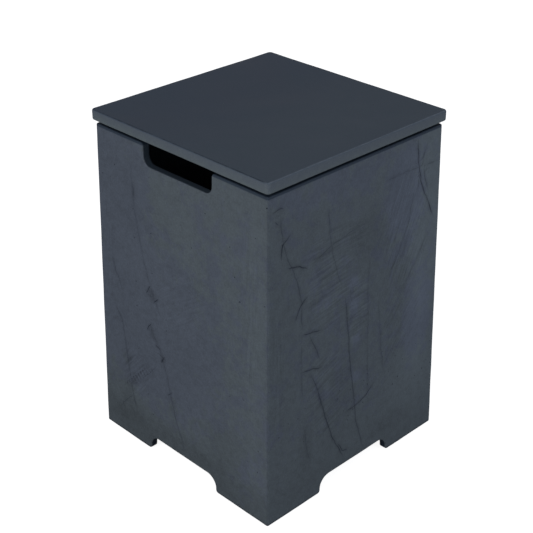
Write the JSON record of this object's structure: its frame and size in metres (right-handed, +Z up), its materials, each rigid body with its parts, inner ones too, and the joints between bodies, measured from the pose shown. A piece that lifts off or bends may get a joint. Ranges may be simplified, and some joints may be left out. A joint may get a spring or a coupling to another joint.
{
  "type": "propane tank cover table",
  "caption": "Square cast side table that hides a gas cylinder: a four-walled open shell with hand notches and hose cut-outs, under a loose square top that lifts off.",
  "frame": {"origin": "on the floor under the centre of the cover, level with the undersides of its foot pads", "axes": "+Z up; the front wall, which has a hand notch, faces -Y and a plain wall faces +X"},
  "size_m": [0.4238, 0.4238, 0.619],
  "materials": {
    "cast_concrete": "matte",
    "black_rubber": "matte",
    "black_nylon": "satin",
    "zinc_steel": "satin",
    "brass": "satin"
  },
  "bodies": {
    "cover": {"cover_body": "cast_concrete", "foot_pad_front_left": "black_rubber", "foot_pad_front_right": "black_rubber", "foot_pad_back_right": "black_rubber", "foot_pad_back_left": "black_rubber"},
    "lid": {"table_top": "cast_concrete", "lid_bumper_front_left": "black_rubber", "lid_bumper_front_right": "black_rubber", "lid_bumper_back_right": "black_rubber", "lid_bumper_back_left": "black_rubber", "lid_locator_front_left": "black_nylon", "lid_locator_front_right": "black_nylon", "lid_locator_back_right": "black_nylon", "lid_locator_back_left": "black_nylon", "locator_screws": "zinc_steel", "screw_inserts": "brass"}
  },
  "joints": [
    {"name": "lid_lift", "type": "slide", "parent": "cover", "child": "lid", "axis": [0, 0, 1], "range_m": [0, 0.15]}
  ]
}
